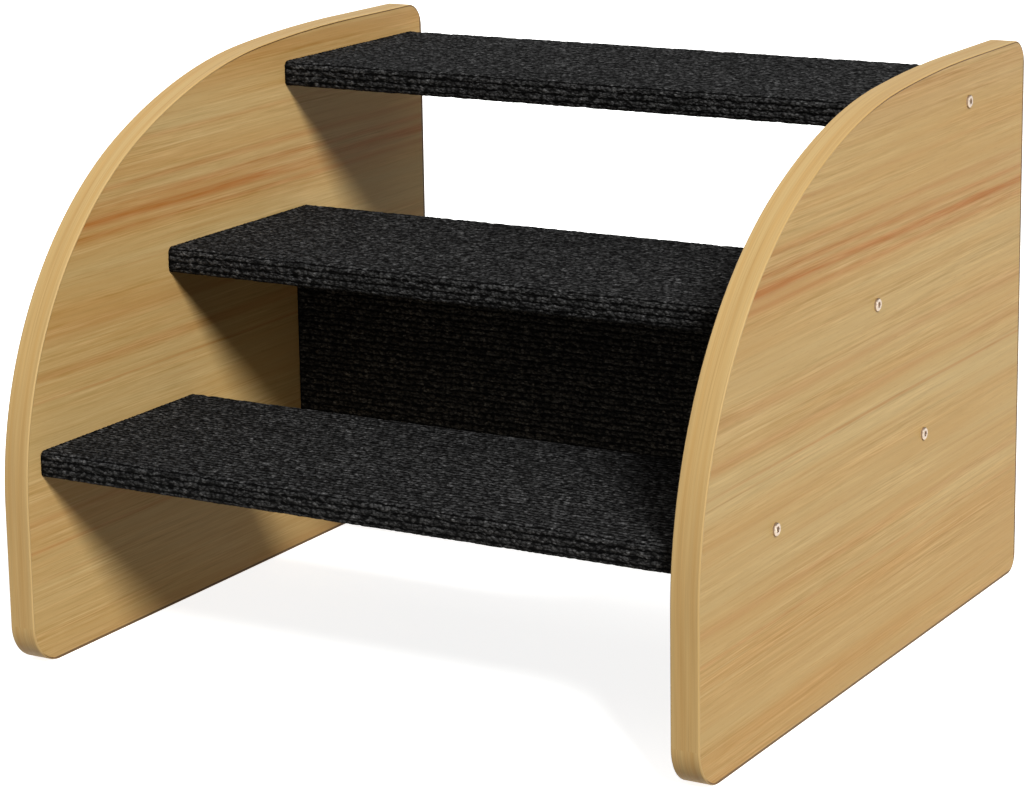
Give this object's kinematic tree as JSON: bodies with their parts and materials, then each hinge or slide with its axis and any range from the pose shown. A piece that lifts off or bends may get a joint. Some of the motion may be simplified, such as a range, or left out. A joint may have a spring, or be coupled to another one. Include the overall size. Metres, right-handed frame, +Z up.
{
  "type": "pet stairs",
  "caption": "Low indoor pet stairs: quarter-round wood-grain side panels joined by carpeted treads and a carpeted riser.",
  "frame": {"origin": "on the floor, under the middle of the stairs", "axes": "+X from the left side panel to the right one as seen from the front, +Y from the front to the back, +Z up"},
  "size_m": [0.4026, 0.393, 0.301],
  "materials": {
    "wood_grain_laminate": "satin wood-grain melamine laminate",
    "wood_grain_edging": "satin wood-grain edge band",
    "core_board": "raw fibreboard",
    "loop_carpet": "charcoal ribbed carpet",
    "zinc_steel": "zinc-plated steel",
    "beech": "raw beech",
    "staple_steel": "galvanised wire"
  },
  "bodies": {
    "root": {"side_panel_right": "wood_grain_laminate", "edge_band_right": "wood_grain_edging", "side_panel_left": "wood_grain_laminate", "edge_band_left": "wood_grain_edging", "bottom_tread_board": "core_board", "bottom_tread_carpet": "loop_carpet", "bottom_tread_screws": "zinc_steel", "bottom_tread_dowels": "beech", "bottom_tread_staples": "staple_steel", "middle_tread_board": "core_board", "middle_tread_carpet": "loop_carpet", "middle_tread_screws": "zinc_steel", "middle_tread_dowels": "beech", "middle_tread_staples": "staple_steel", "top_tread_board": "core_board", "top_tread_carpet": "loop_carpet", "top_tread_screws": "zinc_steel", "top_tread_dowels": "beech", "top_tread_staples": "staple_steel", "riser_board": "core_board", "riser_carpet": "loop_carpet", "riser_screws": "zinc_steel", "riser_dowels": "beech", "riser_staples": "staple_steel"}
  },
  "joints": []
}
